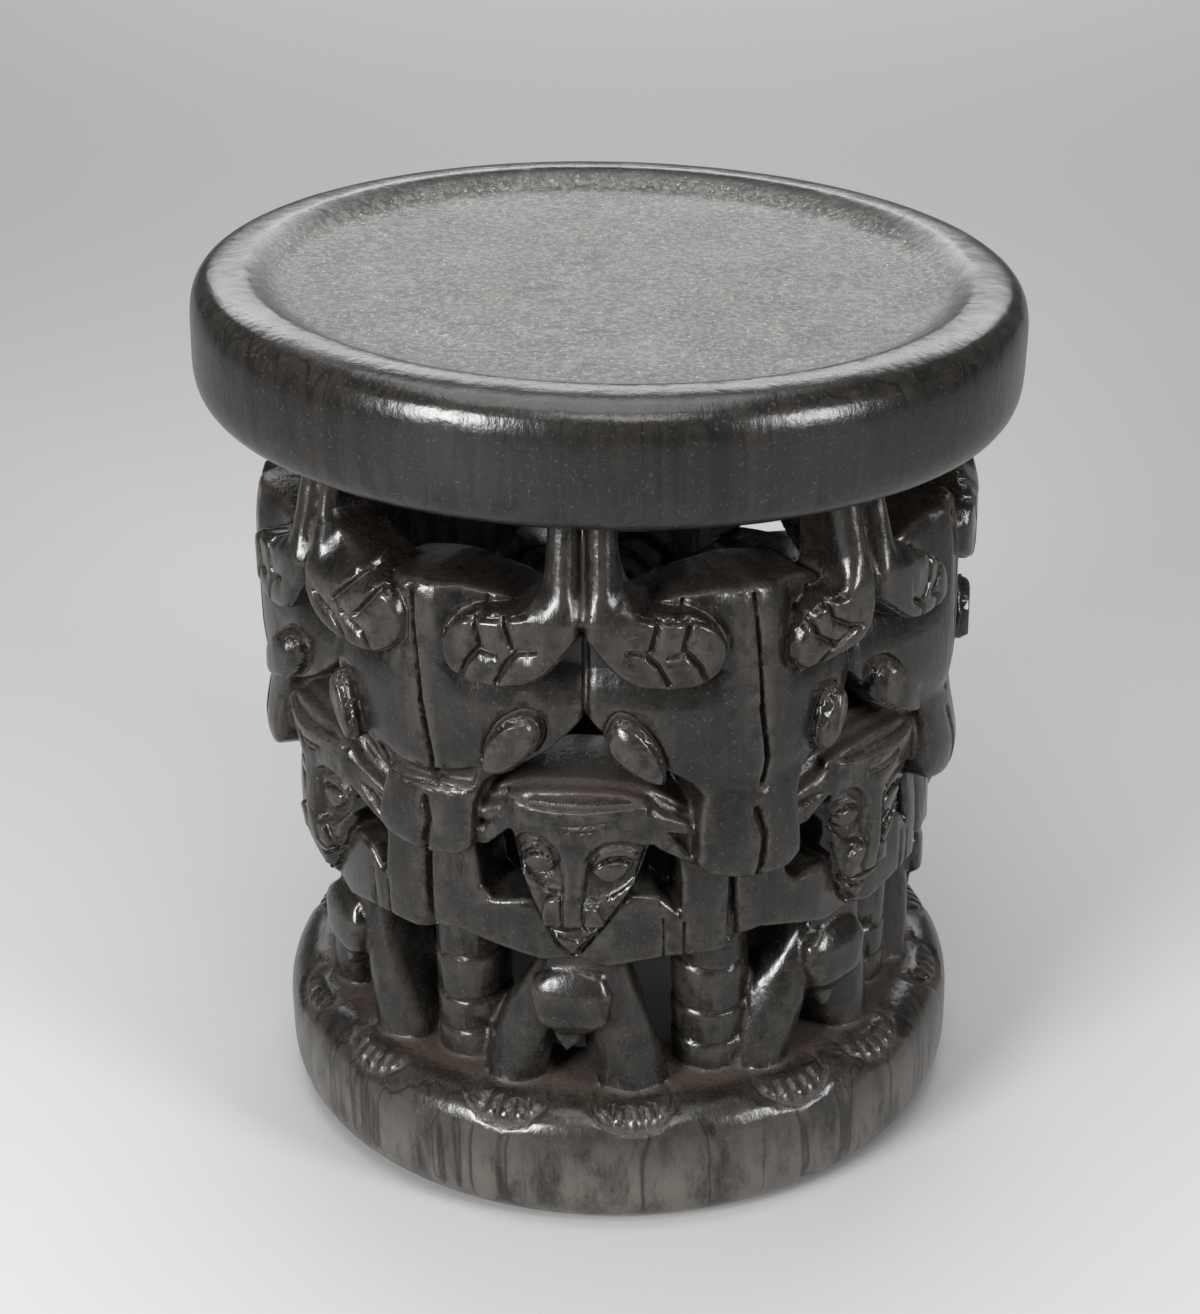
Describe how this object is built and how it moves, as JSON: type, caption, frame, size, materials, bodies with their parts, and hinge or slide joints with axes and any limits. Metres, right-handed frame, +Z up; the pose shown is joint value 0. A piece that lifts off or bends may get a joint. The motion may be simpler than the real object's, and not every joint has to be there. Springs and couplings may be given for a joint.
{
  "type": "carved wooden stool",
  "caption": "Round stool carved from one block of dark wood, with a dished seat, a ring base and an openwork wall of animal heads over squatting figures.",
  "frame": {"origin": "centre of the ring base, on the surface it stands on", "axes": "+Z up through the seat, -Y towards the viewer of the picture, +X to the viewer's right"},
  "size_m": [0.3848, 0.386, 0.4257],
  "materials": {
    "dark_wood": "near-black stained hardwood, rubbed to a satin shine on its raised edges, with dust in its hollows"
  },
  "bodies": {
    "root": {"stool": "dark_wood"}
  },
  "joints": []
}
